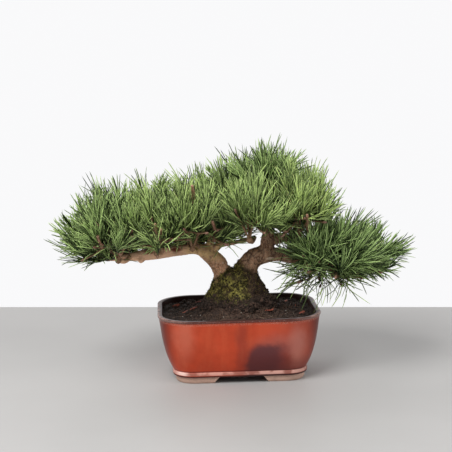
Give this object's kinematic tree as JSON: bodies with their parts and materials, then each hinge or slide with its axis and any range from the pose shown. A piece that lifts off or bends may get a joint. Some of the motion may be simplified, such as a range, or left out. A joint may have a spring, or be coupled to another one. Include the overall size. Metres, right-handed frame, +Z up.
{
  "type": "potted bonsai tree",
  "caption": "Pine bonsai with a forked trunk and layered sprays of needles, rooted in soil in a glazed rectangular pot with round corners that stands on bare clay feet.",
  "frame": {"origin": "on the surface the pot stands on, under the middle of the whole tree's outline seen from above", "axes": "+Z up, +X to the right of the front view along the pot's long side, -Y towards the front"},
  "size_m": [0.5654, 0.292, 0.3621],
  "materials": {
    "glaze": "gloss",
    "screen": "matte",
    "soil": "matte",
    "bark": "matte",
    "needles": "satin"
  },
  "bodies": {
    "root": {"pot": "glaze", "drain_screen_left": "screen", "drain_screen_right": "screen", "soil": "soil", "trunk": "bark", "spray_left_tip": "needles", "spray_left_outer_front": "needles", "spray_left_outer_back": "needles", "spray_left_mid_front": "needles", "spray_left_mid_back": "needles", "spray_left_inner_front": "needles", "spray_left_inner_back": "needles", "spray_crown_left": "needles", "spray_crown_front": "needles", "spray_crown_back": "needles", "spray_crown_top": "needles", "spray_crown_right_front": "needles", "spray_crown_right_back": "needles", "spray_right_inner": "needles", "spray_right_back": "needles", "spray_right_front": "needles", "spray_right_tip": "needles", "spray_right_under": "needles"}
  },
  "joints": []
}
